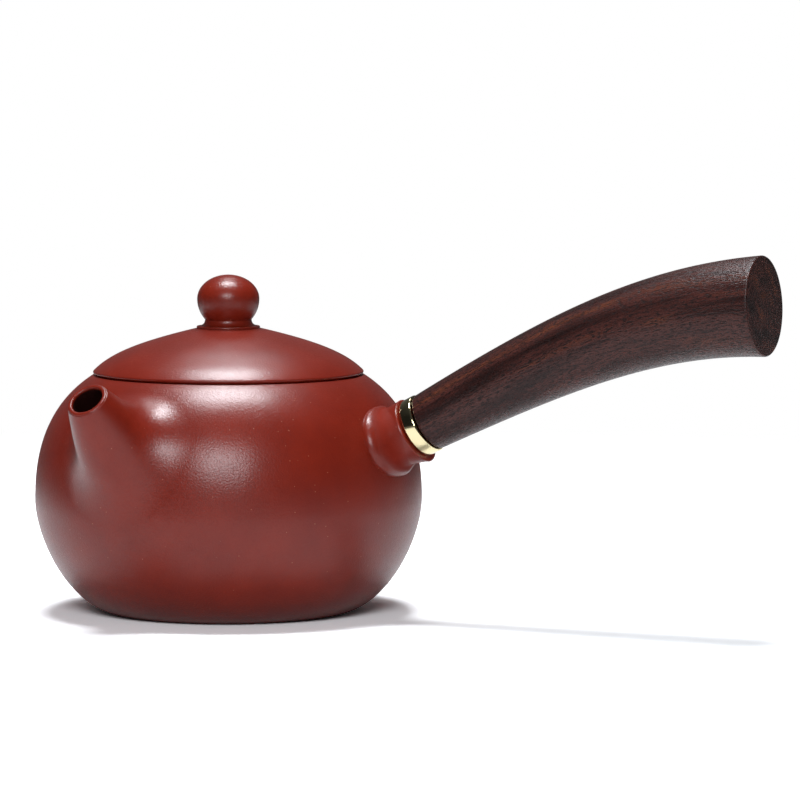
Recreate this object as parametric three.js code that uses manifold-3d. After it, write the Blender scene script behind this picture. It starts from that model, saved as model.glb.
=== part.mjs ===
// Side-handled clay teapot: a round pot with a short blended spout and a ball strainer,
// a lift-off domed lid with a ball knob, and a curved wooden grip in a brass-ringed socket.
// Lengths are in millimetres, angles in degrees, and +Z is up.
// The origin is the centre of the flat base, and the grip leans out over +X.

import * as THREE from 'three';
import { mergeVertices } from 'three/addons/utils/BufferGeometryUtils.js';
import Module from 'manifold-3d';

const wasm = await Module();
wasm.setup();

// Pot body: its outline runs from the foot over the belly to the mouth.
const bellyRadius = 49;
const bellyHeight = 28.9;
const footRadius = 29.5;
const mouthHeight = 59.9;
const shoulderRadius = 34.3;
const wallThickness = 3;
const floorThickness = 3.4;

// Where the outline's curve handles lie, as shares of its widths and heights.
const footSweepShare = 0.552;
const footLiftShare = 0.049;
const bellyLowShare = 0.367;
const bellyHighShare = 0.486;
const shoulderSweepShare = 0.643;
const shoulderDropShare = 0.195;

// Mouth ring: the flat seat that the lid rests on.
const mouthRingHeight = 3;
const mouthRingWidth = 5.1;
const mouthEdgeRounding = 0.5;

// Lid plate and the steam vent beside its knob; heights are above the seat.
const lidSetback = 0.1;
const lidBevelWidth = 0.9;
const lidBevelHeight = 0.6;
const lidRimHeight = 0.4;
const lidDomeHeight = 10.8;
const lidThickness = 3;
const ventRadius = 0.9;
const ventGap = 1;
const ventAzimuthDegrees = 115;
const domeEdgeSweepShare = 0.115;
const domeEdgeRiseShare = 0.371;
const domeTopSweepShare = 0.607;
const domeTopDropShare = 0.356;

// Flange under the lid, which centres it in the mouth.
const flangeClearance = 0.4;
const flangeThickness = 2.3;
const flangeDepth = 8;
const flangeChamfer = 0.6;

// Ball knob and the collar under it.
const collarRadius = 8;
const collarEdge = 0.55;
const collarHeight = 2.2;
const knobNeckRadius = 5.9;
const knobRadius = 7.86;
const knobCrown = 6.1;

// Spout, from the lip back to the root; the lip's centre stands out past the belly and
// lies just below the mouth.
const spoutAzimuthDegrees = -100;
const spoutRiseDegrees = 47;
const lipOverhang = 8.6;
const lipDrop = 2.5;
const lipRadius = 5.2;
const lipBoreRadius = 4.05;
const lipRounding = 0.5;
const spoutRootRadius = 10.1;
const spoutRootBoreRadius = 5.6;
const spoutSwell = 0.2;
const spoutBlend = 9;
const spoutFlareAbove = 6;
const spoutFlareBeside = 10.5;
const spoutFlareBelow = 11;
const spoutSkirtEdge = 0.4;

// Ball strainer over the port inside the spout's root.
const portRadius = 7;
const strainerRadius = 9.2;
const strainerThickness = 1.4;
const strainerHoleRadius = 0.8;
const strainerRingStepDegrees = 18;
const strainerRingCounts = [1, 6, 12, 16];

// Handle socket, whose rim stands out past the belly, below the mouth; its axis also
// carries the ferrule and the grip's tenon.
const socketOverhang = 3.2;
const socketDrop = 11.85;
const gripRiseDegrees = 27.5;
const socketRimRadius = 8.35;
const socketRootRadius = 7.6;
const socketRimRounding = 0.4;
const socketSwell = -0.1;
const socketBlend = 3.2;
const socketFlareAbove = 1;
const socketFlareBeside = 5.7;
const socketFlareBelow = 1.7;
const socketSkirtEdge = 1.1;
const tenonRadius = 5.2;
const tenonDepth = 4.6;
const tenonChamfer = 0.6;
const tenonClearance = 0.3;

// Ferrule: the brass ring between the socket and the grip.
const ferruleLength = 3.4;
const ferruleRadius = 7.6;
const ferruleEdge = 0.35;

// Wooden grip: a curve that swells all the way to its flat butt, which lies out along a
// run and up a climb from the socket's rim.
const gripNeckRadius = 7.3;
const gripNeckPull = 39.5;
const gripRun = 92.65;
const gripClimb = 33.05;
const gripButtRadius = 12.27;
const gripButtRiseDegrees = 3.3;
const gripButtPull = 30;
const gripEdgeRounding = 0.6;
const gripSwellPowerShare = 0.94;

// Slip or glue between fixed pieces, and how far a cut runs past what it cuts.
const jointGap = 0.3;
const cutOverrun = 3;

// Facets.
const potSides = 64;
const outerSteps = 8;
const innerSteps = 4;
const lidSides = 64;
const domeSteps = 8;
const lidHollowSteps = 4;
const knobSides = 32;
const ballSteps = 6;
const branchSides = 28;
const flankSteps = 3;
const blendSteps = 5;
const gripSides = 28;
const gripSteps = 18;
const roundingSteps = 2;
const strainerSides = 20;
const holeSides = 6;
const bisectSteps = 40;

// Sizes that follow from those above.
const mouthBoreRadius = shoulderRadius - mouthRingWidth;
const lidRadius = shoulderRadius - lidSetback;
const lipReach = bellyRadius + lipOverhang;
const lipHeight = mouthHeight - lipDrop;
const socketReach = bellyRadius + socketOverhang;
const socketHeight = mouthHeight - socketDrop;

const clay = { color: 0x8c3b34, roughness: 0.55, metalness: 0 };
const hiddenClay = { color: 0x7a352d, roughness: 0.7, metalness: 0 };
const brass = { color: 0xd9b65a, roughness: 0.15, metalness: 1 };
const darkWood = { color: 0x3d221b, roughness: 0.42, metalness: 0 };

const { degToRad: radians, lerp, clamp } = THREE.MathUtils;
const point = (x, y) => new THREE.Vector2(x, y);

// Turns a closed geometry into a solid that can be joined and cut.
function toSolid(geometry) {
  const bare = geometry.clone();
  bare.deleteAttribute('normal');
  bare.deleteAttribute('uv');
  const merged = mergeVertices(bare);
  const corners = merged.index.array;
  const kept = [];
  for (let i = 0; i < corners.length; i += 3) {
    const [a, b, c] = corners.slice(i, i + 3);
    if (a !== b && b !== c && c !== a) kept.push(a, b, c);
  }
  return new wasm.Manifold(new wasm.Mesh({
    numProp: 3,
    vertProperties: new Float32Array(merged.attributes.position.array),
    triVerts: new Uint32Array(kept),
  }));
}

// Turns a solid back into a geometry for a mesh.
function toGeometry(solid) {
  const mesh = solid.getMesh();
  const geometry = new THREE.BufferGeometry();
  geometry.setAttribute('position', new THREE.BufferAttribute(mesh.vertProperties, 3));
  geometry.setIndex(new THREE.BufferAttribute(mesh.triVerts, 1));
  geometry.computeVertexNormals();
  return geometry;
}

// Revolves an outline of radius and height about Z.
function revolve(outline, sides) {
  return new THREE.LatheGeometry(outline, sides).rotateX(Math.PI / 2);
}

// Revolves an outline that doesn't reach the axis, as a ring.
function revolveRing(outline, sides) {
  return revolve([...outline, outline[0].clone()], sides);
}

// Joins rings of equally many points into a skin; the last ring joins the first again.
function loftLoop(rings) {
  const sides = rings[0].length;
  const positions = rings.flat().flatMap((p) => p.toArray());
  const index = [];
  rings.forEach((_, i) => {
    const next = (i + 1) % rings.length;
    for (let j = 0; j < sides; j++) {
      const k = (j + 1) % sides;
      const [a, b, c, d] = [i * sides + j, i * sides + k, next * sides + k, next * sides + j];
      index.push(a, c, b, a, d, c);
    }
  });
  const geometry = new THREE.BufferGeometry();
  geometry.setAttribute('position', new THREE.Float32BufferAttribute(positions, 3));
  geometry.setIndex(index);
  return geometry;
}

// Rounds a corner of an outline with a curve that is tangent to both of its sides.
function roundCorner(before, corner, after, radius) {
  const start = corner.clone().lerp(before, radius / corner.distanceTo(before));
  const end = corner.clone().lerp(after, radius / corner.distanceTo(after));
  return new THREE.QuadraticBezierCurve(start, corner, end).getPoints(roundingSteps);
}

// Distance along a line at which a test stops being true.
function lastTrue(far, test) {
  let [near, end] = [0, far];
  for (let step = 0; step < bisectSteps; step++) {
    const middle = (near + end) / 2;
    if (test(middle)) near = middle;
    else end = middle;
  }
  return near;
}

// The bowl's outline from foot to mouth, drawn inside its outer face by an inset.
function bowlOutline(inset, bottom, steps) {
  const belly = bellyRadius - inset;
  const rise = mouthHeight - bellyHeight;
  const sweep = (bellyRadius - shoulderRadius) * shoulderSweepShare;
  const drop = rise * shoulderDropShare;
  const lean = Math.atan2(drop, sweep);
  const mouth = point(shoulderRadius - inset * Math.sin(lean), mouthHeight - inset * Math.cos(lean));
  const foot = point(footRadius, bottom);
  const outline = new THREE.Path();
  outline.moveTo(foot.x, foot.y);
  outline.bezierCurveTo(
    lerp(foot.x, belly, footSweepShare), lerp(foot.y, bellyHeight, footLiftShare),
    belly, lerp(bellyHeight, foot.y, bellyLowShare),
    belly, bellyHeight,
  );
  outline.bezierCurveTo(
    belly, bellyHeight + rise * bellyHighShare,
    mouth.x + sweep, mouth.y - drop,
    mouth.x, mouth.y,
  );
  return outline.getPoints(steps);
}

// Cuts an outline off at a height. One that stops short of it is carried straight up.
function outlineBelow(outline, height) {
  const kept = outline.filter((p) => p.y < height);
  const last = kept.at(-1);
  const above = outline.find((p) => p.y >= height) ?? point(last.x, height);
  return [...kept, last.clone().lerp(above, (height - last.y) / (above.y - last.y))];
}

// The part of an outline that lies above a height.
function outlineAbove(outline, height) {
  return [outlineBelow(outline, height).at(-1), ...outline.filter((p) => p.y > height)];
}

// Radius of an outline at a height, held at its ends.
function radiusAt(outline, height) {
  const inside = clamp(height, outline[0].y, outline.at(-1).y);
  const i = Math.max(1, outline.findIndex((p) => p.y >= inside));
  const share = (inside - outline[i - 1].y) / (outline[i].y - outline[i - 1].y);
  return lerp(outline[i - 1].x, outline[i].x, share);
}

const outerOutline = bowlOutline(0, 0, outerSteps);
const innerOutline = bowlOutline(wallThickness, floorThickness, innerSteps);
const ringSeatHeight = mouthHeight - mouthRingHeight;

// The bowl's outside as one filled solid, grown by a margin.
function bowlOutside(margin) {
  const grown = bowlOutline(-margin, -margin, outerSteps);
  return toSolid(revolve([point(0, -margin), ...grown, point(0, grown.at(-1).y)], potSides));
}

// The bowl's hollow as one filled solid, shrunk by a margin.
function bowlHollow(margin) {
  const bottom = floorThickness + margin;
  const shrunk = bowlOutline(wallThickness + margin, bottom, innerSteps);
  return toSolid(revolve([point(0, bottom), ...shrunk, point(0, shrunk.at(-1).y)], potSides));
}

// A group whose Z axis leans out from the pot's axis at an azimuth and a rise.
function leaningGroup(reach, height, azimuthDegrees, riseDegrees) {
  const turn = new THREE.Group();
  turn.rotation.z = radians(azimuthDegrees);
  const lean = new THREE.Group();
  lean.position.set(reach, 0, height);
  lean.rotation.y = Math.PI / 2 - radians(riseDegrees);
  turn.add(lean);
  turn.updateMatrixWorld(true);
  return { turn, lean, reach, toPot: lean.matrixWorld, fromPot: lean.matrixWorld.clone().invert() };
}

const spoutGroup = leaningGroup(lipReach, lipHeight, spoutAzimuthDegrees, spoutRiseDegrees);
const gripGroup = leaningGroup(socketReach, socketHeight, 0, gripRiseDegrees);

// A point of a leaning group, on a circle round its Z axis, in the pot's frame.
function inPot(group, radius, angle, z) {
  return new THREE.Vector3(radius * Math.cos(angle), radius * Math.sin(angle), z)
    .applyMatrix4(group.toPot);
}

const isOutside = (p, outline) => Math.hypot(p.x, p.y) > radiusAt(outline, p.z);

// How far back along a group's axis the given outline of the bowl is met.
function depthTo(group, outline) {
  return lastTrue(group.reach, (depth) => isOutside(inPot(group, 0, 0, -depth), outline));
}

function potBody() {
  const outside = outlineBelow(outerOutline, ringSeatHeight);
  const inside = outlineBelow(innerOutline, ringSeatHeight).reverse();
  const bowl = revolve([point(0, 0), ...outside, ...inside, point(0, floorThickness)], potSides);
  const portLength = depthTo(spoutGroup, innerOutline) + 2 * cutOverrun;
  const port = new THREE.CylinderGeometry(portRadius, portRadius, portLength, branchSides)
    .rotateX(Math.PI / 2)
    .translate(0, 0, -portLength / 2)
    .applyMatrix4(spoutGroup.toPot);
  return toGeometry(toSolid(bowl).subtract(toSolid(port)));
}

function mouthRing() {
  const outside = outlineAbove(outerOutline, ringSeatHeight).slice(0, -1);
  const edge = point(shoulderRadius, mouthHeight);
  const boreTop = point(mouthBoreRadius, mouthHeight);
  const boreBottom = point(mouthBoreRadius, ringSeatHeight);
  const rounded = roundCorner(outside.at(-1), edge, boreTop, mouthEdgeRounding);
  return revolveRing([...outside, ...rounded, boreTop, boreBottom], potSides);
}

// How far a branch's skirt runs out over the bowl, by the angle round the branch.
function flareAt(sizes, angle) {
  const upright = Math.cos(angle) > 0 ? sizes.flareBelow : sizes.flareAbove;
  return lerp(upright, sizes.flareBeside, Math.sin(angle) ** 2);
}

// One line down a branch's outside: straight down its flank, then in a curve that is
// tangent to the flank and to the skirt's face, and at last tucked into the bowl.
function branchLine(group, sizes, skin, length, angle) {
  const flank = (depth) => {
    const share = Math.min(1, depth / length);
    const swell = sizes.swell * Math.sin(Math.PI * share);
    return inPot(group, lerp(sizes.rimRadius, sizes.rootRadius, share) + swell, angle, -depth);
  };
  const hitDepth = lastTrue(group.reach, (depth) => isOutside(flank(depth), skin));
  const hit = flank(hitDepth);
  const outward = hit.clone().sub(inPot(group, 0, 0, -hitDepth)).normalize();
  const foot = hit.clone().addScaledVector(outward, flareAt(sizes, angle));
  const onSkin = radiusAt(skin, foot.z) / Math.hypot(foot.x, foot.y);
  foot.set(foot.x * onSkin, foot.y * onSkin, foot.z);
  const tuck = foot.clone().setZ(0).normalize().multiplyScalar(-cutOverrun).add(foot);
  const start = Math.max(sizes.rounding, hitDepth - sizes.blend);
  const straight = [];
  for (let i = 0; i < flankSteps; i++) straight.push(flank(lerp(sizes.rounding, start, i / flankSteps)));
  const blend = new THREE.QuadraticBezierCurve3(flank(start), hit, foot).getPoints(blendSteps);
  return [...straight, ...blend, tuck];
}

// A hollow branch that grows out of the bowl, from its rim at Z = 0 down to a skirt.
function branch(group, sizes) {
  const lift = -(jointGap + sizes.skirtEdge);
  const skin = bowlOutline(lift, lift, outerSteps);
  const length = depthTo(group, skin);
  const angles = Array.from({ length: branchSides }, (_, i) => 2 * Math.PI * i / branchSides);
  const circle = (radius, z) => angles.map((angle) => inPot(group, radius, angle, z));
  const lines = angles.map((angle) => branchLine(group, sizes, skin, length, angle));
  const outside = lines[0].map((_, i) => lines.map((line) => line[i]));
  const bottom = length + 2 * cutOverrun;
  const bore = [
    circle(sizes.rootBoreRadius, -bottom),
    circle(sizes.rootBoreRadius, -length),
    circle(sizes.boreRadius, -sizes.rounding),
  ];
  const [boreEdge, rimEdge] = [point(sizes.boreRadius, 0), point(sizes.rimRadius, 0)];
  const [boreDown, rimDown] = [point(sizes.boreRadius, -length), point(sizes.rimRadius, -length)];
  const rimOutline = [
    ...roundCorner(boreDown, boreEdge, rimEdge, sizes.rounding),
    ...roundCorner(boreEdge, rimEdge, rimDown, sizes.rounding),
  ].slice(1, -1);
  const rim = rimOutline.map((p) => circle(p.x, p.y));
  const drawn = toSolid(loftLoop([...bore, ...rim, ...outside]));
  return toGeometry(drawn.subtract(bowlOutside(jointGap))).applyMatrix4(group.fromPot);
}

function spout() {
  return branch(spoutGroup, {
    rimRadius: lipRadius,
    rootRadius: spoutRootRadius,
    swell: spoutSwell,
    boreRadius: lipBoreRadius,
    rootBoreRadius: spoutRootBoreRadius,
    rounding: lipRounding,
    blend: spoutBlend,
    flareAbove: spoutFlareAbove,
    flareBeside: spoutFlareBeside,
    flareBelow: spoutFlareBelow,
    skirtEdge: spoutSkirtEdge,
  });
}

function handleSocket() {
  return branch(gripGroup, {
    rimRadius: socketRimRadius,
    rootRadius: socketRootRadius,
    swell: socketSwell,
    boreRadius: tenonRadius + tenonClearance,
    rootBoreRadius: tenonRadius + tenonClearance,
    rounding: socketRimRounding,
    blend: socketBlend,
    flareAbove: socketFlareAbove,
    flareBeside: socketFlareBeside,
    flareBelow: socketFlareBelow,
    skirtEdge: socketSkirtEdge,
  });
}

// A pierced ball shell that bulges into the pot, cut off by the wall that it is luted to.
function strainer() {
  const middle = inPot(spoutGroup, 0, 0, -depthTo(spoutGroup, innerOutline));
  const ball = (radius) => toSolid(new THREE.SphereGeometry(radius, strainerSides, strainerSides / 2));
  const holes = strainerRingCounts.flatMap((count, ring) => {
    const lean = radians(strainerRingStepDegrees * ring);
    return Array.from({ length: count }, (_, i) => strainerHole(lean, 2 * Math.PI * i / count));
  });
  const pierced = holes.reduce((shell, hole) => shell.subtract(hole),
    ball(strainerRadius).subtract(ball(strainerRadius - strainerThickness)));
  const placed = toGeometry(pierced)
    .rotateY(Math.PI / 2 - radians(spoutRiseDegrees))
    .rotateZ(radians(spoutAzimuthDegrees))
    .translate(middle.x, middle.y, middle.z);
  return toGeometry(toSolid(placed).intersect(bowlHollow(jointGap)));
}

// One of the strainer's holes, leaning off the spout's axis towards the pot.
function strainerHole(lean, turn) {
  const radius = strainerHoleRadius;
  const hole = new THREE.CylinderGeometry(radius, radius, 2 * strainerRadius, holeSides)
    .translate(0, -strainerRadius, 0)
    .rotateX(Math.PI / 2 + lean)
    .rotateZ(turn);
  return toSolid(hole);
}

// Points of the lid's domed top, from its rim to the flat that carries the collar.
function domeOutline() {
  const rim = mouthHeight + lidBevelHeight + lidRimHeight;
  const top = rim + lidDomeHeight;
  return new THREE.CubicBezierCurve(
    point(lidRadius, rim),
    point(lidRadius * (1 - domeEdgeSweepShare), lerp(rim, top, domeEdgeRiseShare)),
    point(lerp(collarRadius, lidRadius, domeTopSweepShare), lerp(top, rim, domeTopDropShare)),
    point(collarRadius, top),
  ).getPoints(domeSteps);
}

const flangeRadius = mouthBoreRadius - flangeClearance;
const flangeBoreRadius = flangeRadius - flangeThickness;
const collarSeatHeight = domeOutline().at(-1).y;

function lidPlate() {
  const dome = domeOutline();
  const seat = [
    point(flangeBoreRadius, mouthHeight),
    point(lidRadius - lidBevelWidth, mouthHeight),
    point(lidRadius, mouthHeight + lidBevelHeight),
  ];
  const hollowTop = collarSeatHeight - lidThickness;
  const hollow = new THREE.QuadraticBezierCurve(
    point(0, hollowTop),
    point(flangeBoreRadius, hollowTop),
    point(flangeBoreRadius, mouthHeight),
  ).getPoints(lidHollowSteps).slice(0, -1);
  const plate = toSolid(revolve([...hollow, ...seat, ...dome, point(0, collarSeatHeight)], lidSides));
  return toGeometry(plate.subtract(steamVent()));
}

// The steam vent runs straight down through the lid just outside the collar.
function steamVent() {
  const vent = new THREE.CylinderGeometry(ventRadius, ventRadius, collarSeatHeight, holeSides * 2)
    .rotateX(Math.PI / 2)
    .translate(collarRadius + ventGap + ventRadius, 0, collarSeatHeight)
    .rotateZ(radians(ventAzimuthDegrees));
  return toSolid(vent);
}

function lidFlange() {
  const bottom = mouthHeight - flangeDepth;
  return revolveRing([
    point(flangeBoreRadius, bottom),
    point(flangeRadius - flangeChamfer, bottom),
    point(flangeRadius, bottom + flangeChamfer),
    point(flangeRadius, mouthHeight),
    point(flangeBoreRadius, mouthHeight),
  ], lidSides);
}

function knobCollar() {
  const base = collarSeatHeight;
  const edge = point(collarRadius, base + collarEdge);
  const neck = point(knobNeckRadius, base + collarHeight);
  const sweep = new THREE.QuadraticBezierCurve(edge, point(neck.x, edge.y), neck)
    .getPoints(roundingSteps * 2);
  return revolve([point(0, base), point(collarRadius, base), ...sweep, point(0, neck.y)], knobSides);
}

// The knob is a ball that is cut flat at its neck and slightly flattened over its crown.
function lidKnob() {
  const base = collarSeatHeight + collarHeight;
  const neckAngle = Math.acos(knobNeckRadius / knobRadius);
  const widest = base + knobRadius * Math.sin(neckAngle);
  const below = new THREE.EllipseCurve(0, widest, knobRadius, knobRadius, -neckAngle, 0);
  const crown = new THREE.EllipseCurve(0, widest, knobRadius, knobCrown, 0, Math.PI / 2);
  const ball = [...below.getPoints(ballSteps), ...crown.getPoints(ballSteps).slice(1, -1)];
  return revolve([point(0, base), ...ball, point(0, widest + knobCrown)], knobSides);
}

// A ring with eased edges that the tenon passes through.
function ferrule() {
  const bore = tenonRadius + tenonClearance;
  const [inner, outer] = [point(bore, 0), point(ferruleRadius, 0)];
  const [innerTop, outerTop] = [point(bore, ferruleLength), point(ferruleRadius, ferruleLength)];
  return revolveRing([
    inner,
    ...roundCorner(inner, outer, outerTop, ferruleEdge),
    ...roundCorner(outer, outerTop, innerTop, ferruleEdge),
    innerTop,
  ], knobSides);
}

// The grip's middle line in the plane of the handle, from the ferrule to the butt.
function gripLine(neckZ) {
  const neck = inPot(gripGroup, 0, 0, neckZ);
  const pulled = inPot(gripGroup, 0, 0, neckZ + gripNeckPull);
  const lean = radians(gripButtRiseDegrees);
  const butt = new THREE.Vector3(socketReach + gripRun, 0, socketHeight + gripClimb);
  const back = new THREE.Vector3(Math.cos(lean), 0, Math.sin(lean)).multiplyScalar(-gripButtPull);
  return new THREE.CubicBezierCurve3(neck, pulled, butt.clone().add(back), butt);
}

// A round section of the grip, square to its middle line.
function gripRing(middle, along, radius) {
  const side = new THREE.Vector3(0, 1, 0);
  const up = along.clone().cross(side).negate();
  return Array.from({ length: gripSides }, (_, i) => {
    const angle = 2 * Math.PI * i / gripSides;
    return middle.clone()
      .addScaledVector(side, radius * Math.cos(angle))
      .addScaledVector(up, radius * Math.sin(angle));
  });
}

// The grip is one piece of wood: a turned tenon, a shoulder against the ferrule, and the
// swelling curve with its square-cut butt.
function gripWood() {
  const shoulder = 2 * jointGap + ferruleLength;
  const line = gripLine(shoulder);
  const axis = line.getTangentAt(0);
  const tenonRing = (radius, z) => gripRing(inPot(gripGroup, 0, 0, z), axis, radius);
  const rings = [
    tenonRing(0, -tenonDepth),
    tenonRing(tenonRadius - tenonChamfer, -tenonDepth),
    tenonRing(tenonRadius, tenonChamfer - tenonDepth),
    tenonRing(tenonRadius, shoulder),
    tenonRing(gripNeckRadius - gripEdgeRounding, shoulder),
  ];
  const edgeShare = gripEdgeRounding / line.getLength();
  for (let i = 0; i <= gripSteps; i++) {
    const share = lerp(edgeShare, 1 - edgeShare, i / gripSteps);
    const radius = lerp(gripNeckRadius, gripButtRadius, share ** gripSwellPowerShare);
    rings.push(gripRing(line.getPointAt(share), line.getTangentAt(share), radius));
  }
  const buttAxis = line.getTangentAt(1);
  rings.push(gripRing(line.getPointAt(1), buttAxis, gripButtRadius - gripEdgeRounding));
  rings.push(gripRing(line.getPointAt(1), buttAxis, 0));
  return toGeometry(toSolid(loftLoop(rings)));
}

const part = new THREE.Group();

function addMesh(name, geometry, finish, parent = part) {
  const mesh = new THREE.Mesh(geometry, new THREE.MeshStandardMaterial(finish));
  mesh.name = name;
  parent.add(mesh);
  return mesh;
}

part.add(spoutGroup.turn, gripGroup.turn);
addMesh('pot_body', potBody(), clay);
addMesh('mouth_ring', mouthRing(), clay);
addMesh('spout', spout(), clay, spoutGroup.lean);
addMesh('strainer', strainer(), hiddenClay);
addMesh('handle_socket', handleSocket(), clay, gripGroup.lean);
addMesh('ferrule', ferrule(), brass, gripGroup.lean).position.z = jointGap;
addMesh('handle_grip', gripWood(), darkWood);
addMesh('lid_plate', lidPlate(), clay);
addMesh('lid_flange', lidFlange(), hiddenClay);
addMesh('knob_collar', knobCollar(), clay);
addMesh('lid_knob', lidKnob(), clay);

export default part;
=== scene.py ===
"""Side-handled clay teapot: its looks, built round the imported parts.

A round pot of burnished red clay with a short spout that grows out of its side, a domed
lid with a ball knob, and a curved grip of dark wood behind a brass ferrule. Lengths are
in metres in the parts' own frame: +Z is up, the base lies at 0, the grip is over +X.
"""

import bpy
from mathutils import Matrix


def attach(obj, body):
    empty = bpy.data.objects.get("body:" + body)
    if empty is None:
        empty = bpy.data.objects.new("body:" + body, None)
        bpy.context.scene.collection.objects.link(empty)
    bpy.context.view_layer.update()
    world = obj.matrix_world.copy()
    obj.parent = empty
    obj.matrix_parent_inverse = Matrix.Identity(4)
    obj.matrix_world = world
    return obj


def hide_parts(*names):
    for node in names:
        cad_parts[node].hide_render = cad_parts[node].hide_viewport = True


bl_info = {
    "name": "Side-handled clay teapot",
    "version": (1, 0, 0),
    "blender": (4, 5, 0),
    "location": "View3D > Sidebar > Teapot",
    "description": "Builds a clay teapot with a wooden side grip, and a plain studio round it",
    "category": "Add Mesh",
}

import math

import bmesh
import bpy
from bpy.props import FloatProperty, FloatVectorProperty, PointerProperty
from bpy.types import Node, NodeSocket, Operator, Panel, PropertyGroup
from mathutils import Matrix, Vector
from mathutils.geometry import interpolate_bezier

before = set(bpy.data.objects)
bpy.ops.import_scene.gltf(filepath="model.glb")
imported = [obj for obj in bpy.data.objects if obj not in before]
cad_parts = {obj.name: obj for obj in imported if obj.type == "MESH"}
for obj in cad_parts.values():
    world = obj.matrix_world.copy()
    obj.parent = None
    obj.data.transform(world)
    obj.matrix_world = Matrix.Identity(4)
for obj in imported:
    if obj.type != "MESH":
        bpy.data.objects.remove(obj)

MM = 0.001
FULL_TURN = 2 * math.pi

# How finely the pieces are drawn: sides round, points along, rings, steps of a search, splits
# of the strainer's ball and segments of a rounded edge.
BOWL_SIDES, LID_SIDES, KNOB_SIDES = 256, 224, 128
BRANCH_SIDES, GRIP_SIDES, HOLE_SIDES = 144, 128, 48
CURVE_POINTS, COLLAR_POINTS, LINE_POINTS = 72, 20, 600
BORE_RINGS, FLANK_RINGS, BLEND_RINGS, EDGE_RINGS, GRIP_RINGS = 2, 8, 26, 6, 120
BISECT_STEPS = 40
BALL_SPLITS, BALL_LEVELS = 3, 2
FERRULE_SEGMENTS, EDGE_SEGMENTS = 5, 3

# Points closer than this are one. Edges sharper than SHARP are rounded, and faces that meet
# less sharply than SMOOTH are shaded as one.
MERGE = 1e-6
SHARP, SMOOTH = math.radians(28), math.radians(32)

# Where the handles of the drawn curves lie, as shares of their widths and heights.
FOOT_SWEEP, FOOT_LIFT = 0.552, 0.049
BELLY_LOW, BELLY_HIGH = 0.367, 0.486
SHOULDER_SWEEP, SHOULDER_DROP = 0.643, 0.195
DOME_EDGE_SWEEP, DOME_EDGE_RISE = 0.115, 0.371
DOME_TOP_SWEEP, DOME_TOP_DROP = 0.607, 0.356
ROUND_PULL = 2 / 3

# How far a skirt runs on past its end and down into the wall, and how far it sinks first.
TUCK, SINK = 1.2 * MM, 0.05 * MM

# The end of a bore is looked for up to this many times as deep as the bowl's face lies on
# the axis. Its straight part starts this many rim roundings down.
SEARCH, BORE_EDGE = 2, 2

# Length of the port's cutter in root radii, and how many hole radii the strainer's holes
# stay above its rim.
PORT_REACH, HOLE_CLEAR = 3, 2

# Where a foot's roll starts, from its top, and how long the handles of the fillet above it
# are: up the roll, as a share of the roll's slope, and down the flank, of the way to the bowl.
CREST = math.radians(34)
FILLET_LOW, FILLET_HIGH = 0.4, 0.5

# How soon the grip swells towards its butt: 1 is evenly along its length.
SWELL_POWER = 0.94

# Clay that no tool has rubbed, and how the sheen fades beside it: 1 is softly, less is
# sooner.
UNRUBBED = {"Roughness": 0.8, "Coat Weight": 0, "Specular IOR Level": 0.15}
DULL_POWER = 0.5

# Width of the camera's sensor in millimetres, and the nearest place in metres that it sees.
SENSOR, CLIP = 36, 0.05

# Daylight lamps are a little cool.
COOL_LIGHT = (0.93, 0.96, 1.0)

# The floor's side in metres. How bright the eye and the gloss see it lit, and where it fades
# to white, from the pot's axis.
FLOOR_SIZE = 8
FLOOR_GAIN, FLOOR_MIRRORED = 1.28, 0.65
FADE_START, FADE_END = 240 * MM, 520 * MM

# The lamps: degrees round from the camera and up, distance and size in metres, and watts.
LAMPS = {
    "overhead_softbox": dict(azimuth=185, elevation=85, distance=0.9, width=0.38, depth=0.28, power=13.5),
    "back_softbox": dict(azimuth=180, elevation=55, distance=1.2, width=0.36, depth=0.24, power=1.5),
    "front_card": dict(azimuth=-3, elevation=26, distance=1.6, width=0.6, depth=0.5, power=16.5),
}

# Strength of the room for gloss: behind the camera, overhead and at the wall. Last, the
# strength of all of it for matt faces.
ROOM_DARK, ROOM_TOP, ROOM_WALL, ROOM_SOFT = 0.012, 0.05, 0.11, 0.12


def linear(code):
    """A hex sRGB colour as the linear numbers that shaders take."""
    parts = [int(code[i : i + 2], 16) / 255 for i in (0, 2, 4)]
    return [c / 12.92 if c <= 0.04045 else ((c + 0.055) / 1.055) ** 2.4 for c in parts]


def length(name, description, millimetres):
    """A length that a user may change, with its default in millimetres."""
    return FloatProperty(name=name, description=description, default=millimetres * MM, unit="LENGTH")


def lengths(name, description, *millimetres):
    """Three lengths of a branch that a user may change: above it, beside it and below it."""
    default = [side * MM for side in millimetres]
    description += ": above, beside and below"
    return FloatVectorProperty(name=name, description=description, default=default, unit="LENGTH")


def angle(name, description, degrees):
    """An angle that a user may change, with its default in degrees."""
    default = math.radians(degrees)
    return FloatProperty(name=name, description=description, default=default, subtype="ANGLE")


def ratio(name, description, default):
    """A plain number from 1 up that a user may change."""
    return FloatProperty(name=name, description=description, default=default, min=1)


def colour(name, description, code):
    """A colour that a user may change, with its default as a hex sRGB code."""
    tint = {"default": linear(code), "min": 0, "max": 1, "subtype": "COLOR"}
    return FloatVectorProperty(name=name, description=description, **tint)


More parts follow.
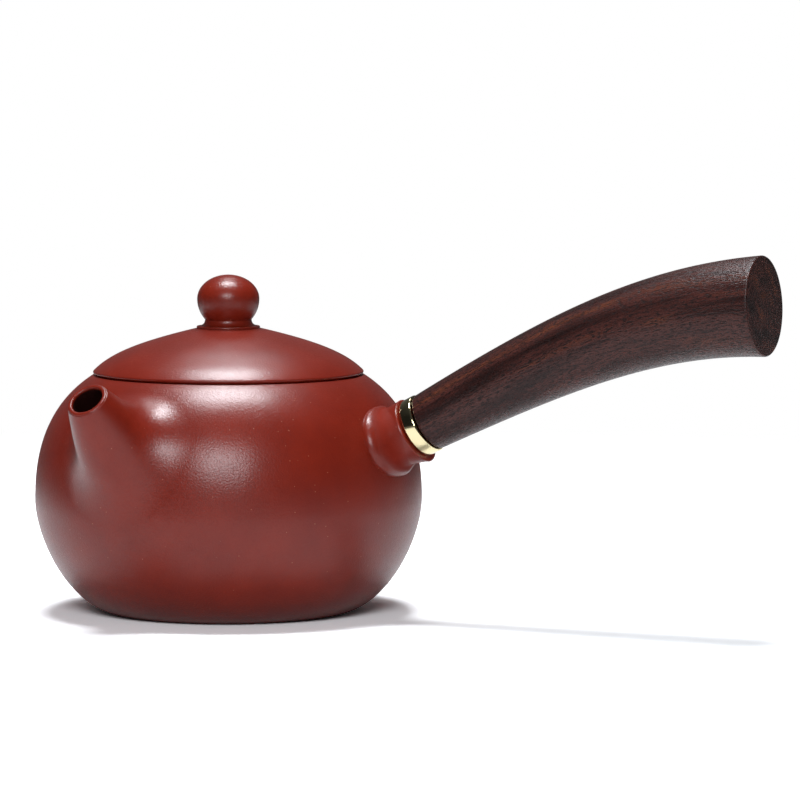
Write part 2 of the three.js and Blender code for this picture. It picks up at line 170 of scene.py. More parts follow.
class PotSizes(PropertyGroup):
    """Sizes of the bowl and of the seat in its mouth."""

    belly_radius: length("Belly radius", "Widest radius of the bowl", 49)
    belly_height: length("Belly height", "Height of the widest place", 28.9)
    foot_radius: length("Foot radius", "Radius of the flat base", 29.5)
    mouth_height: length("Mouth height", "Height of the lid's seat", 59.9)
    shoulder_radius: length("Shoulder radius", "Radius where the shoulder ends", 34.3)
    wall: length("Wall", "Thickness of the wall", 3)
    floor: length("Floor", "Thickness of the floor", 3.4)
    seat_height: length("Seat height", "Height of the ring in the mouth", 3)
    seat_width: length("Seat width", "From the shoulder's edge to the bore", 5.1)
    lip_width: length("Lip width", "Clay outside the seat ring", 1)
    edge: length("Edge rounding", "Rounding of the mouth's and foot's edges", 0.35)


class SpoutSizes(PropertyGroup):
    """Sizes of the spout, its fillet and the ball strainer behind it."""

    azimuth: angle("Azimuth", "Where round the pot the spout stands", -100)
    rise: angle("Rise", "How steeply the spout points up", 47)
    reach: length("Reach", "From the pot's axis to the lip's centre", 57.6)
    height: length("Height", "Height of the lip's centre", 57.4)
    rim: lengths("Lip", "Outside radius of the lip", 5.2, 5.2, 5.2)
    bore_radius: length("Lip bore", "Inside radius at the lip", 4.05)
    root: lengths("Root", "Radius of the root", 10.1, 10.1, 10.1)
    root_bore_radius: length("Root bore", "Inside radius at the bowl", 5.6)
    far_lean: ratio("Far lean", "How much leaner the skirt is on its far side", 1)
    swell: length("Swell", "How far the flank bulges out", 0.2)
    rounding: length("Lip rounding", "Rounding of the lip's edges", 0.45)
    blend: length("Blend", "How far up the flank the fillet starts", 9.5)
    flare: lengths("Flare", "How far over the bowl the fillet runs", 7, 13, 14)
    edge: lengths("Edge", "Height of a roll at the foot, if any", 0, 0, 0)
    port_radius: length("Port radius", "Hole through the bowl's wall", 7)
    ball_radius: length("Strainer radius", "Radius of the ball strainer", 9.2)
    ball_wall: length("Strainer wall", "Thickness of the ball strainer", 1.4)
    ball_hole: length("Strainer hole", "Radius of one hole", 0.75)


class HandleSizes(PropertyGroup):
    """Sizes of the clay socket, the ferrule and the wooden grip, on one axis."""

    azimuth: angle("Azimuth", "Where round the pot the handle stands", 0)
    rise: angle("Rise", "How steeply the socket points up", 27.5)
    reach: length("Reach", "From the pot's axis to the socket's rim", 52.2)
    height: length("Height", "Height of the middle of the socket's rim", 48.05)
    rim: lengths("Rim", "Outside radius of the rim", 8.1, 8.35, 8.95)
    bore_radius: length("Bore", "Hole that takes the grip's tenon", 5.5)
    root: lengths("Root", "Radius of the root", 7.9, 9.3, 7.1)
    root_bore_radius: length("Root bore", "Inside radius at the bowl", 5.5)
    far_lean: ratio("Far lean", "How much leaner the foot is away from the spout", 2.2)
    swell: length("Swell", "How far the socket's flank bulges out", -0.1)
    rounding: length("Rim rounding", "Rounding of the socket's rim", 0.4)
    blend: length("Blend", "How far up the flank the foot starts, at most", 7)
    flare: lengths("Flare", "How far over the bowl the foot runs", 1.5, 3.9, 1.9)
    edge: lengths("Edge", "Height of the foot's roll", 1.1, 2.6, 1.5)
    gap: length("Gap", "Glue line on each side of the ferrule", 0.3)
    ferrule_length: length("Ferrule length", "Width of the brass ring", 3.4)
    ferrule_radius: length("Ferrule radius", "Outside radius of the ring", 7.6)
    ferrule_edge: length("Ferrule edge", "Rounding of the ring's edges", 0.45)
    tenon_radius: length("Tenon radius", "Radius of the grip's tenon", 5.2)
    tenon_depth: length("Tenon depth", "How far it goes into the socket", 4.6)
    tenon_chamfer: length("Tenon chamfer", "Chamfer of its end", 0.6)
    neck_radius: length("Neck radius", "Grip's radius behind the ferrule", 7.3)
    neck_pull: length("Neck pull", "How long the grip runs straight", 39.5)
    butt_reach: length("Butt reach", "From the pot's axis to the butt", 144.85)
    butt_height: length("Butt height", "Height of the butt's middle", 81.1)
    butt_radius: length("Butt radius", "Radius of the flat butt", 12.27)
    butt_pull: length("Butt pull", "How soon the grip bends over", 30)
    butt_rise: angle("Butt rise", "Slope of the grip at its butt", 3.3)
    grip_edge: length("Grip edge", "Rounding of the grip's two ends", 0.45)


class LidSizes(PropertyGroup):
    """Sizes of the lid, its flange, its collar and its ball knob."""

    radius: length("Radius", "Radius of the lid", 34.2)
    bevel_width: length("Bevel width", "Width of the bevel under the rim", 0.9)
    bevel_height: length("Bevel height", "Height of the bevel under the rim", 0.6)
    rim_height: length("Rim height", "Height of the rim's upright face", 0.4)
    dome_height: length("Dome height", "From the rim to the collar", 10.8)
    thickness: length("Thickness", "Clay over the lid's hollow", 3)
    edge: length("Edge rounding", "Rounding of the lid's edges", 0.18)
    vent_radius: length("Vent radius", "Radius of the steam vent", 0.9)
    vent_gap: length("Vent gap", "From the collar to the vent", 1)
    vent_azimuth: angle("Vent azimuth", "Where round the lid the vent lies", 115)
    flange_clearance: length("Flange clearance", "Room round the flange", 0.4)
    flange_thickness: length("Flange thickness", "Wall of the flange", 2.3)
    flange_depth: length("Flange depth", "How far it reaches into the mouth", 8)
    flange_chamfer: length("Flange chamfer", "Chamfer of its lower edge", 0.6)
    collar_radius: length("Collar radius", "Radius of the knob's collar", 8)
    collar_edge: length("Collar edge", "Height of the collar's edge", 0.55)
    collar_height: length("Collar height", "Height of the whole collar", 2.2)
    neck_radius: length("Neck radius", "Radius between collar and ball", 5.9)
    knob_radius: length("Knob radius", "Radius of the ball knob", 7.86)
    knob_crown: length("Knob crown", "Height of the ball's upper half", 6.1)


class Finishes(PropertyGroup):
    """Colours of the clays, the wood and the brass."""

    clay: colour("Clay", "Burnished red clay", "6E1B0C")
    clay_deep: colour("Deep clay", "Its darker grains and clouds", "591208")
    clay_fleck: colour("Clay fleck", "Its few pale sand grains", "C98B72")
    # Painted shade in the spout's bore, and glue plus painted shade on the socket's bore and rim.
    bore_shade_and_glue: colour("Tea stain", "Clay stained by tea, in the bores", "1E0907")
    clay_inside: colour("Inside clay", "Unburnished clay inside", "7A352D")
    wood_dark: colour("Dark wood", "Near-black layers of the wood", "1B0D0C")
    wood_mid: colour("Mid wood", "Brown body of the wood", "41231F")
    wood_red: colour("Red wood", "Reddish streaks", "67361F")
    brass: colour("Brass", "Polished brass", "F5E6B8")


class Studio(PropertyGroup):
    """Where the camera and the lamps stand, and how strong they are."""

    azimuth: angle("Azimuth", "Camera's place round the pot", 25)
    distance: length("Distance", "From the pot's axis to the camera", 1300)
    height: length("Height", "Height of the camera", 160.2)
    aim_side: length("Aim aside", "How far right of the axis it aims", 43.4)
    aim_height: length("Aim height", "Height that it aims at", 53.4)
    lens: ratio("Lens", "Focal length of the camera, in millimetres on a 36 mm sensor", 231.9)
    floor: colour("Floor", "Plain pale floor", "E9E8EA")


def lerp(a, b, share):
    """A value part of the way from a to b."""
    return a + (b - a) * share


def quarter(rings):
    """How far in from its two sides a quarter circle of radius 1 is, at each of its rings."""
    leans = [math.pi / 2 * i / EDGE_RINGS for i in rings]
    return [(1 - math.cos(lean), 1 - math.sin(lean)) for lean in leans]


def bezier(start, pull_start, pull_end, end, count=CURVE_POINTS):
    """Points along a curve that leaves and meets its ends along its handles."""
    knots = [Vector(p) for p in (start, pull_start, pull_end, end)]
    return interpolate_bezier(*knots, count)


def rounded_corner(start, corner, end, count=CURVE_POINTS):
    """Points along a plain round curve that has its two handles on a corner's sides."""
    return bezier(start, start.lerp(corner, ROUND_PULL), end.lerp(corner, ROUND_PULL), end, count)


def bowl_outline(pot, inset=0.0, bottom=0.0):
    """Radius and height of the bowl's face from foot to mouth, drawn in by an inset."""
    belly = Vector((pot.belly_radius - inset, pot.belly_height))
    rise = pot.mouth_height - pot.belly_height
    sweep = (pot.belly_radius - pot.shoulder_radius) * SHOULDER_SWEEP
    drop = rise * SHOULDER_DROP
    normal = Vector((drop, sweep)).normalized()
    mouth = Vector((pot.shoulder_radius, pot.mouth_height)) - normal * inset
    foot = Vector((pot.foot_radius, bottom))
    leave_foot = (lerp(foot.x, belly.x, FOOT_SWEEP), lerp(foot.y, belly.y, FOOT_LIFT))
    low = bezier(foot, leave_foot, (belly.x, lerp(belly.y, foot.y, BELLY_LOW)), belly)
    leave_belly = (belly.x, belly.y + rise * BELLY_HIGH)
    high = bezier(belly, leave_belly, (mouth.x + sweep, mouth.y - drop), mouth)
    return low + high[1:]


def on_outline(outline, height):
    """Radius of an outline at a height, and its normal there as radius and height."""
    last = len(outline) - 2
    i = next((k for k in range(last) if outline[k + 1].y >= height), last)
    a, b = outline[i], outline[i + 1]
    share = min(1, max(0, (height - a.y) / (b.y - a.y)))
    before, after = outline[max(0, i - 1)], outline[min(last + 1, i + 2)]
    along = ((b - before) * (1 - share) + (after - a) * share).normalized()
    return lerp(a.x, b.x, share), Vector((along.y, -along.x))


def on_bowl(outline, point, lift=0.0):
    """The place on the bowl level with a point, lifted off it, and the normal there."""
    radius, lean = on_outline(outline, point.z)
    side = Vector((point.x, point.y, 0)).normalized()
    normal = side * lean.x + Vector((0, 0, lean.y))
    return side * radius + Vector((0, 0, point.z)) + normal * lift, normal


def leaning(sizes):
    """The place of an axis that leans out from the pot's, with Z pointing outwards."""
    turn = Matrix.Rotation(sizes.azimuth, 4, "Z")
    move = Matrix.Translation((sizes.reach, 0, sizes.height))
    return turn @ move @ Matrix.Rotation(math.pi / 2 - sizes.rise, 4, "Y")


def circle_point(place, radius, turn, z):
    """A point on a circle round the Z axis of a leaning place."""
    return place @ Vector((radius * math.cos(turn), radius * math.sin(turn), z))


def ring_at(place, radii, z, turns):
    """A ring round the Z axis of a leaning place, with its own radius at each angle."""
    return [circle_point(place, radius, turn, z) for radius, turn in zip(radii, turns)]


def last_true(far, test):
    """Distance along a line at which a test stops being true."""
    near = 0.0
    for _ in range(BISECT_STEPS):
        middle = (near + far) / 2
        near, far = (middle, far) if test(middle) else (near, middle)
    return near


def outside(outline, point):
    """Whether a point lies outside the bowl's face."""
    return math.hypot(point.x, point.y) > on_outline(outline, point.z)[0]


def start_fresh():
    """Leaves edit mode and deselects everything, so that an operator meets one piece."""
    if bpy.context.object and bpy.context.object.mode != "OBJECT":
        bpy.ops.object.mode_set(mode="OBJECT")
    bpy.ops.object.select_all(action="DESELECT")


def pick(piece):
    """Makes one piece the active one, and the only one that is selected."""
    start_fresh()
    bpy.context.view_layer.objects.active = piece
    piece.select_set(True)


def edit(piece):
    """Opens one piece in edit mode with all of it selected."""
    pick(piece)
    bpy.ops.object.mode_set(mode="EDIT")
    bpy.ops.mesh.select_all(action="SELECT")


def trace(name, outline, closed):
    """Draws an outline of radius and height by extruding one vertex along it."""
    start_fresh()
    bpy.ops.mesh.primitive_plane_add(size=MM)
    piece = bpy.context.object
    piece.name = name
    edit(piece)
    bpy.ops.mesh.merge(type="CENTER")
    upright = [Vector((p[0], 0, p[1])) for p in outline]
    bpy.ops.transform.translate(value=upright[0])
    stops = upright + upright[:1] if closed else upright
    for a, b in zip(stops, stops[1:]):
        bpy.ops.mesh.extrude_region_move(TRANSFORM_OT_translate={"value": b - a})
    bpy.ops.mesh.select_all(action="SELECT")
    bpy.ops.mesh.remove_doubles(threshold=MERGE)
    return piece


def turned(name, outline, sides, closed=False):
    """Turns an outline about Z, as on a wheel, into a closed piece."""
    piece = trace(name, outline, closed)
    bpy.ops.mesh.spin(steps=sides, angle=FULL_TURN, center=(0, 0, 0), axis=(0, 0, 1))
    bpy.ops.mesh.select_all(action="SELECT")
    bpy.ops.mesh.remove_doubles(threshold=MERGE)
    bpy.ops.mesh.normals_make_consistent(inside=False)
    bpy.ops.object.mode_set(mode="OBJECT")
    return piece


def select_verts(mesh, indices):
    """Selects these vertices, and the edges and faces that lie between them."""
    mesh.verts.ensure_lookup_table()
    for i in indices:
        mesh.verts[i].select = True
    mesh.select_flush(True)


def lofted(name, rings, looped):
    """Extrudes a circle from ring to ring and lays each on its own points. The last ring
    is bridged to the first, or both ends are closed with a face."""
    start_fresh()
    sides = len(rings[0])
    bpy.ops.mesh.primitive_circle_add(vertices=sides, radius=MM)
    piece = bpy.context.object
    piece.name = name
    edit(piece)
    for i, ring in enumerate(rings):
        if i:
            bpy.ops.mesh.extrude_region_move()
        mesh = bmesh.from_edit_mesh(piece.data)
        mesh.verts.ensure_lookup_table()
        for k, place in enumerate(ring):
            mesh.verts[i * sides + k].co = place
        bmesh.update_edit_mesh(piece.data)
    bpy.ops.mesh.select_all(action="DESELECT")
    ends = (range(sides), range(len(mesh.verts) - sides, len(mesh.verts)))
    if looped:
        select_verts(mesh, [*ends[0], *ends[1]])
        bpy.ops.mesh.bridge_edge_loops()
    else:
        for end in ends:
            select_verts(mesh, end)
            bpy.ops.mesh.edge_face_add()
            bpy.ops.mesh.select_all(action="DESELECT")
    bpy.ops.mesh.select_all(action="SELECT")
    bpy.ops.mesh.normals_make_consistent(inside=False)
    bpy.ops.object.mode_set(mode="OBJECT")
    return piece


def apply_modifier(piece, kind, **settings):
    """Adds a modifier with its settings and applies it."""
    pick(piece)
    modifier = piece.modifiers.new(kind.title(), kind)
    for key, value in settings.items():
        setattr(modifier, key, value)
    bpy.ops.object.modifier_apply(modifier=modifier.name)


def round_edges(piece, width, segments=EDGE_SEGMENTS):
    """Rounds every sharp edge of a piece."""
    limit = {"limit_method": "ANGLE", "angle_limit": SHARP, "use_clamp_overlap": True}
    apply_modifier(piece, "BEVEL", width=width, segments=segments, **limit)


def cut(piece, tool):
    """Cuts a tool's shape out of a piece, and throws the tool away."""
    apply_modifier(piece, "BOOLEAN", operation="DIFFERENCE", object=tool, solver="EXACT")
    bpy.data.objects.remove(tool)


def drill(radius, depth, place, sides=HOLE_SIDES):
    """A round cutter that runs down the Z axis of a place."""
    start_fresh()
    middle = (0, 0, -depth / 2)
    bpy.ops.mesh.primitive_cylinder_add(vertices=sides, radius=radius, depth=depth, location=middle)
    bpy.ops.object.transform_apply(location=True)
    tool = bpy.context.object
    tool.matrix_world = place
    return tool


def settle(piece, place):
    """Moves a piece from the origin to its place, and puts that place in its mesh."""
    pick(piece)
    piece.matrix_world = place
    bpy.ops.object.transform_apply(location=True, rotation=True, scale=True)


def finish_piece(piece, look, body, stands_for):
    """Shades a piece, gives it its finish, and ties it to the node that it stands for."""
    pick(piece)
    bpy.ops.object.shade_smooth_by_angle(angle=SMOOTH)
    piece.data.name = piece.name
    piece.data.materials.clear()
    piece.data.materials.append(drawn(look, bpy.context.scene.teapot_finishes))
    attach(piece, body)
    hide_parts(stands_for)


def across(size):
    """Scale of a pattern whose features are this many millimetres across."""
    return 1 / (size * MM)


def node(tree, kind, inputs=None, **settings):
    """Adds a node, sets it up, and gives its inputs their links and values. An input goes by
    its name or number among those in use, and a node is linked by its first output in use."""
    made = tree.nodes.new("ShaderNode" + kind)
    for key, value in settings.items():
        setattr(made, key, value)
    shown = [socket for socket in made.inputs if socket.enabled]
    for key, value in (inputs or {}).items():
        socket = shown[key] if isinstance(key, int) else next(s for s in shown if s.name == key)
        if isinstance(value, Node):
            value = next(output for output in value.outputs if output.enabled)
        if isinstance(value, NodeSocket):
            tree.links.new(value, socket)
        elif socket.type == "RGBA":
            socket.default_value = (*value, 1)
        else:
            socket.default_value = value
    return made


def drawn(look, colours):
    """The material whose nodes a function draws, under that function's name. It is drawn
    once, and all pieces of that finish share it."""
    found = bpy.data.materials.get(look.__name__)
    if found:
        return found
    material = bpy.data.materials.new(look.__name__)
    material.use_nodes = True
    tree = material.node_tree
    tree.nodes.clear()
    node(tree, "OutputMaterial", {"Surface": look(tree, colours)})
    return material


def burnished_red_clay(tree, tones):
    """Unglazed red stoneware rubbed smooth before firing: a soft waxy sheen over a dense
    grain, with faint clouds and a few pale sand grains."""
    place = node(tree, "TexCoord").outputs["Object"]
    # Clouds about 11 mm across, from uneven rubbing and firing.
    clouds = node(tree, "TexNoise", {"Vector": place, "Scale": across(11), "Detail": 3, "Roughness": 0.55})
    cloudy = node(tree, "MapRange", {"Value": clouds, "From Min": 0.35, "From Max": 0.7, "To Max": 0.45})
    body = node(tree, "Mix", {"Factor": cloudy, "A": tones.clay, "B": tones.clay_deep}, data_type="RGBA")
    # Clay grains are under 0.1 mm; drawn at 0.45 mm so that they show in a picture.
    grains = node(tree, "TexNoise", {"Vector": place, "Scale": across(0.45), "Detail": 2, "Roughness": 0.6})
    grainy = node(tree, "MapRange", {"Value": grains, "From Min": 0.5, "From Max": 0.8, "To Max": 0.5})
    grained = node(tree, "Mix", {"Factor": grainy, "A": body, "B": tones.clay_deep}, data_type="RGBA")
    # Pale sand grains of about 0.25 mm, one in a patch of some 2.5 mm.
    cells = node(tree, "TexVoronoi", {"Vector": place, "Scale": across(1.7)})
    middle = {"From Min": 0.05, "From Max": 0.09, "To Min": 1, "To Max": 0}
    near = node(tree, "MapRange", {"Value": cells, **middle})
    chance = node(tree, "SeparateColor", {"Color": cells.outputs["Color"]})
    picked = node(tree, "Math", {0: chance, 1: 0.6}, operation="GREATER_THAN")
    sand = node(tree, "Math", {0: near, 1: picked}, operation="MULTIPLY")
    faint = node(tree, "Math", {0: sand, 1: 0.35}, operation="MULTIPLY")
    flecked = node(tree, "Mix", {"Factor": faint, "A": grained, "B": tones.clay_fleck}, data_type="RGBA")
    # Painted shade turns the spout's bore nearly black; in the socket the same colour is glue plus painted
    # shade.
    shade_and_glue = node(tree, "Attribute", attribute_name="shade_and_glue", attribute_type="GEOMETRY").outputs["Fac"]
    shaded_and_glued = node(tree, "Mix", {"Factor": shade_and_glue, "A": flecked, "B": tones.bore_shade_and_glue}, data_type="RGBA")
    # The grains also break up the sheen a little.
    sheen = {"From Min": 0.3, "From Max": 0.7, "To Min": 0.3, "To Max": 0.4}
    waxy = node(tree, "MapRange", {"Value": grains, **sheen})
    # Slight unevenness, 14 mm across, left by rubbing by hand.
    waves = node(tree, "TexNoise", {"Vector": place, "Scale": across(14), "Detail": 1, "Roughness": 0.4})
    hand = node(tree, "Bump", {"Height": waves, "Distance": 0.22 * MM})
    pitted = node(tree, "Bump", {"Height": grains, "Distance": 0.055 * MM, "Normal": hand})
    return node(tree, "BsdfPrincipled", {
        "Base Color": shaded_and_glued,
        "Roughness": waxy,
        "Normal": pitted,
        "IOR": 1.37,
        "Coat Weight": 0.2,
        "Coat Roughness": 0.2,
        "Coat Normal": pitted,
    })


def half_burnished_red_clay(tree, tones):
    """The same clay on the socket. The rubbing tool doesn't reach into the fillet above its
    foot, so the sheen fades out there."""
    shader = burnished_red_clay(tree, tones)
    dull = node(tree, "Attribute", attribute_name="dull", attribute_type="GEOMETRY").outputs["Fac"]
    for key, bare in UNRUBBED.items():
        socket = shader.inputs[key]
        rubbed = socket.links[0].from_socket if socket.links else socket.default_value
        faded = node(tree, "Mix", {"Factor": dull, "A": rubbed, "B": bare})
        tree.links.new(faded.outputs[0], socket)
    return shader


def matt_red_clay(tree, tones):
    """The same clay where no tool rubbed it: dull, open and slightly sandy."""
    place = node(tree, "TexCoord").outputs["Object"]
    # Sandy grain, drawn at 0.6 mm so that it shows.
    grains = node(tree, "TexNoise", {"Vector": place, "Scale": across(0.6), "Detail": 3, "Roughness": 0.6})
    sandy = node(tree, "MapRange", {"Value": grains, "From Min": 0.4, "From Max": 0.75, "To Max": 0.7})
    both = {"Factor": sandy, "A": tones.clay_inside, "B": tones.clay_deep}
    body = node(tree, "Mix", both, data_type="RGBA")
    pitted = node(tree, "Bump", {"Height": grains, "Distance": 0.05 * MM})
    return node(tree, "BsdfPrincipled", {"Base Color": body, "Roughness": 0.78, "Normal": pitted})


def oiled_dark_hardwood(tree, tones):
    """Dense dark tropical hardwood, sanded and oiled: near-black and brown layers with
    reddish streaks, short open pores, and a satin sheen along the grain."""
    along = node(tree, "Attribute", attribute_name="grain", attribute_type="GEOMETRY").outputs["Vector"]
    # Growth layers lie slantwise in the grip, 3.4 mm thick, 9 mm wide and 50 mm long. Finer
    # lines inside them are 0.6 mm thick and 12 mm long.
    slant = (math.radians(34), 0, math.radians(1.5))
    slanted = node(tree, "Mapping", {"Vector": along, "Rotation": slant})
    layer_space = node(tree, "Mapping", {"Vector": slanted, "Scale": (across(50), across(9), across(3.4))})
    wavy = {"Scale": 1, "Detail": 3, "Roughness": 0.5, "Distortion": 0.3}
    layers = node(tree, "TexNoise", {"Vector": layer_space, **wavy})
    line_space = node(tree, "Mapping", {"Vector": slanted, "Scale": (across(12), across(1.6), across(0.6))})
    lines = node(tree, "TexNoise", {"Vector": line_space, "Scale": 1, "Detail": 3, "Roughness": 0.6})
    brown = node(tree, "MapRange", {"Value": layers, "From Min": 0.3, "From Max": 0.52})
    body = node(tree, "Mix", {"Factor": brown, "A": tones.wood_dark, "B": tones.wood_mid}, data_type="RGBA")
    # The red shows in patches some 30 mm long.
    red = node(tree, "MapRange", {"Value": layers, "From Min": 0.52, "From Max": 0.66, "To Max": 0.6})
    patch_space = node(tree, "Mapping", {"Vector": along, "Scale": (across(30), across(9), across(9))})
    patches = node(tree, "TexNoise", {"Vector": patch_space, "Scale": 1, "Detail": 1, "Roughness": 0.5})
    patchy = node(tree, "MapRange", {"Value": patches, "From Min": 0.48, "From Max": 0.62})
    red_here = node(tree, "Math", {0: red, 1: patchy}, operation="MULTIPLY")
    reddened = node(tree, "Mix", {"Factor": red_here, "A": body, "B": tones.wood_red}, data_type="RGBA")
    fine = node(tree, "MapRange", {"Value": lines, "From Min": 0.5, "From Max": 0.68, "To Max": 0.75})
    lined = node(tree, "Mix", {"Factor": fine, "A": reddened, "B": tones.wood_dark}, data_type="RGBA")
    # Open pores: slits 0.3 mm wide and 1.3 mm long.
    pore_space = node(tree, "Mapping", {"Vector": along, "Scale": (across(1.3), across(0.3), across(0.3))})
    pores = node(tree, "TexNoise", {"Vector": pore_space, "Scale": 1, "Detail": 2, "Roughness": 0.5})
    open_here = node(tree, "MapRange", {"Value": pores, "From Min": 0.5, "From Max": 0.62})
    pored = node(tree, "Mix", {"Factor": open_here, "A": lined, "B": tones.wood_dark}, data_type="RGBA")
    sheen = {"From Min": 0.4, "From Max": 0.7, "To Min": 0.26, "To Max": 0.5}
    satin = node(tree, "MapRange", {"Value": pores, **sheen})
    sunk = node(tree, "Bump", {"Height": pores, "Distance": 0.14 * MM}, invert=True)
    oiled = {"Base Color": pored, "Roughness": satin, "Normal": sunk, "IOR": 1.34}
    return node(tree, "BsdfPrincipled", oiled)


def polished_brass_ring(tree, tones):
    """Buffed brass: a mirror with a warm yellow tint and hairline wiping marks."""
    place = node(tree, "TexCoord").outputs["Object"]
    # Wiping marks about 0.5 mm apart, faint enough to keep the mirror.
    marks = node(tree, "TexNoise", {"Vector": place, "Scale": across(0.5), "Detail": 2, "Roughness": 0.5})
    sheen = {"From Min": 0.3, "From Max": 0.7, "To Min": 0.07, "To Max": 0.13}
    wiped = node(tree, "MapRange", {"Value": marks, **sheen})
    return node(tree, "BsdfPrincipled", {"Base Color": tones.brass, "Metallic": 1, "Roughness": wiped})


def pale_matt_floor(tree, studio):
    """Plain pale matt floor. It keeps the object's shadow, and turns white farther off."""
    rays = node(tree, "LightPath").outputs
    to_camera = rays["Is Camera Ray"]
    glossy = {0: rays["Is Glossy Ray"], 1: rays["Is Transmission Ray"]}
    mirrored = node(tree, "Math", glossy, operation="ADD")
    seen = node(tree, "Math", {0: to_camera, 1: mirrored}, operation="ADD", use_clamp=True)
    # The floor sheds light in its plain colour. The eye and the gloss see it by these gains.
    gain = node(tree, "Mix", {"Factor": to_camera, "A": FLOOR_MIRRORED, "B": FLOOR_GAIN})
    tone = node(tree, "Mix", {"Factor": seen, "A": studio.floor, "B": gain}, data_type="RGBA")
    matt = node(tree, "BsdfDiffuse", {"Color": tone})
    # Past the shadow the floor fades into the white surroundings.
    place = node(tree, "TexCoord").outputs["Object"]
    away = node(tree, "VectorMath", {0: place}, operation="LENGTH")
    far = {"From Min": FADE_START, "From Max": FADE_END}
    faded = node(tree, "MapRange", {"Value": away, **far}, interpolation_type="SMOOTHSTEP")
    share = node(tree, "Math", {0: faded, 1: seen}, operation="MULTIPLY")
    glow = node(tree, "Mix", {"Factor": to_camera, "A": ROOM_WALL, "B": 1})
    white = node(tree, "Emission", {"Strength": glow})
    return node(tree, "MixShader", {0: share, 1: matt, 2: white})


def white_world(studio):
    """White for the camera and soft for matt faces. Gloss meets a grey wall behind the
    object, and a darker room overhead and behind the camera."""
    world = bpy.data.worlds.new("studio_world")
    world.use_nodes = True
    bpy.context.scene.world = world
    tree = world.node_tree
    tree.nodes.clear()
    rays = node(tree, "LightPath").outputs
    to_camera = rays["Is Camera Ray"]
    glossy = {0: rays["Is Glossy Ray"], 1: rays["Is Transmission Ray"]}
    mirrored = node(tree, "Math", glossy, operation="ADD", use_clamp=True)
    direction = node(tree, "TexCoord").outputs["Generated"]
    height = node(tree, "SeparateXYZ", {0: direction}).outputs["Z"]
    not_overhead = {"From Min": 0.3, "From Max": 0.95, "To Min": 1, "To Max": 0}
    low = node(tree, "MapRange", {"Value": height, **not_overhead})
    # 1 straight behind the camera, -1 straight behind the object.
    towards_camera = (math.sin(studio.azimuth), -math.cos(studio.azimuth), 0)
    facing = node(tree, "VectorMath", {0: direction, 1: towards_camera}, operation="DOT_PRODUCT")
    behind_object = {"From Min": -0.97, "From Max": -0.3, "To Min": 1, "To Max": 0}
    behind = node(tree, "MapRange", {"Value": facing, **behind_object})
    wall = node(tree, "Math", {0: low, 1: behind}, operation="MULTIPLY")
    overhead = {"From Min": 0.45, "From Max": 0.9, "To Min": ROOM_DARK, "To Max": ROOM_TOP}
    ceiling = node(tree, "MapRange", {"Value": height, **overhead})
    room = node(tree, "Mix", {"Factor": wall, "A": ceiling, "B": ROOM_WALL})
    unseen = node(tree, "Mix", {"Factor": mirrored, "A": ROOM_SOFT, "B": room})
    strength = node(tree, "Mix", {"Factor": to_camera, "A": unseen, "B": 1})
    tint = node(tree, "Mix", {"Factor": to_camera, "A": COOL_LIGHT, "B": (1, 1, 1)}, data_type="RGBA")
    shader = node(tree, "Background", {"Color": tint, "Strength": strength})
    node(tree, "OutputWorld", {"Surface": shader})


def softbox(name, studio, azimuth, elevation, distance, width, depth, power):
    """A soft lamp, aimed at the pot from a place round it and above it."""
    around = studio.azimuth + math.radians(azimuth)
    up = math.radians(elevation)
    away = Vector((math.sin(around) * math.cos(up), -math.cos(around) * math.cos(up), math.sin(up)))
    target = Vector((0, 0, studio.aim_height))
    start_fresh()
    bpy.ops.object.light_add(type="AREA", location=target + away * distance)
    lamp = bpy.context.object
    lamp.name = name
    lamp.rotation_euler = away.to_track_quat("Z", "Y").to_euler()
    lamp.data.shape = "RECTANGLE"
    lamp.data.size, lamp.data.size_y = width, depth
    lamp.data.energy = power
    lamp.data.color = COOL_LIGHT
    lamp.visible_camera = False


class TEAPOT_OT_stage(Operator):
    """Sets the floor, the lamps, the white surroundings and the camera"""

    bl_idname = "teapot.stage"
    bl_label = "Studio"

    def execute(self, context):
        studio = context.scene.teapot_studio
        context.scene.view_settings.view_transform = "Standard"
        start_fresh()
        bpy.ops.mesh.primitive_plane_add(size=FLOOR_SIZE)
        ground = context.object
        ground.name = "studio_floor"
        ground.data.materials.append(drawn(pale_matt_floor, studio))
        white_world(studio)
        for name, place in LAMPS.items():
            softbox(name, studio, **place)
        turn = Matrix.Rotation(studio.azimuth, 3, "Z")
        start = turn @ Vector((studio.aim_side, -studio.distance, studio.height))
        target = turn @ Vector((studio.aim_side, 0, studio.aim_height))
        aim = (start - target).to_track_quat("Z", "Y").to_euler()
        bpy.ops.object.camera_add(location=start, rotation=aim)
        camera = context.object
        camera.name = "camera"
        camera.data.sensor_width = SENSOR
        camera.data.lens = studio.lens
        camera.data.clip_start = CLIP
        context.scene.camera = camera
        return {"FINISHED"}


def bowl_with_port(pot, spout, lip, seat):
    """The turned bowl with a step in its lip, and with the round port that feeds the spout."""
    inner = bowl_outline(pot, pot.wall, pot.floor)
    inside = [p for p in inner if p.y < seat]
    step = [(lip, pot.mouth_height), (lip, seat), (on_outline(inner, seat)[0], seat)]
    outline = [(0, 0), *bowl_outline(pot), *step, *reversed(inside), (0, pot.floor)]
    bowl = turned("pot_bowl", outline, BOWL_SIDES)
    round_edges(bowl, pot.edge)
    root = max(spout.root)
    start = leaning(spout) @ Matrix.Translation((0, 0, -root))
    cut(bowl, drill(spout.port_radius, PORT_REACH * root, start, BRANCH_SIDES))
    return bowl


def band(inner, outer, low, high):
    """The corners of a plain ring's section, as radius and height."""
    return [(inner, low), (outer, low), (outer, high), (inner, high)]


